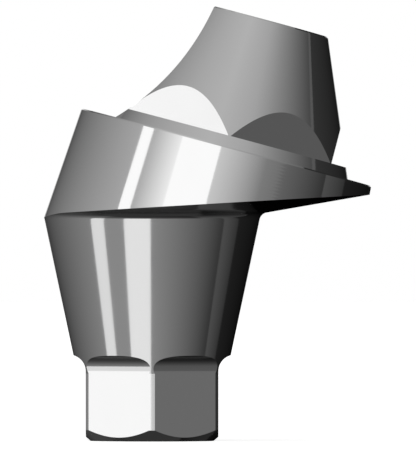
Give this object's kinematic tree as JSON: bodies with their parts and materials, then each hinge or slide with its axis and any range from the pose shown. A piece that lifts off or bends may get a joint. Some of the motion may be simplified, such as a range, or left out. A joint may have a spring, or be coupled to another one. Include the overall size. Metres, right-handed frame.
{
  "type": "angled dental abutment",
  "caption": "Angled dental abutment body, with a hexagon and conical seat, a tilted collar, and a cut-away cone that is tapped for a prosthetic screw.",
  "frame": {"origin": "on the implant axis, at the flat end of the hexagon, where the screw bore begins", "axes": "+Z along the implant axis, from the hexagon to the collar; the prosthetic cone leans 15 degrees from +Z towards +X; the XZ plane is the plane of symmetry"},
  "size_m": [0.0052, 0.005, 0.0069],
  "materials": {
    "titanium": "fine-turned bright titanium"
  },
  "bodies": {
    "root": {"abutment_body": "titanium"}
  },
  "joints": []
}
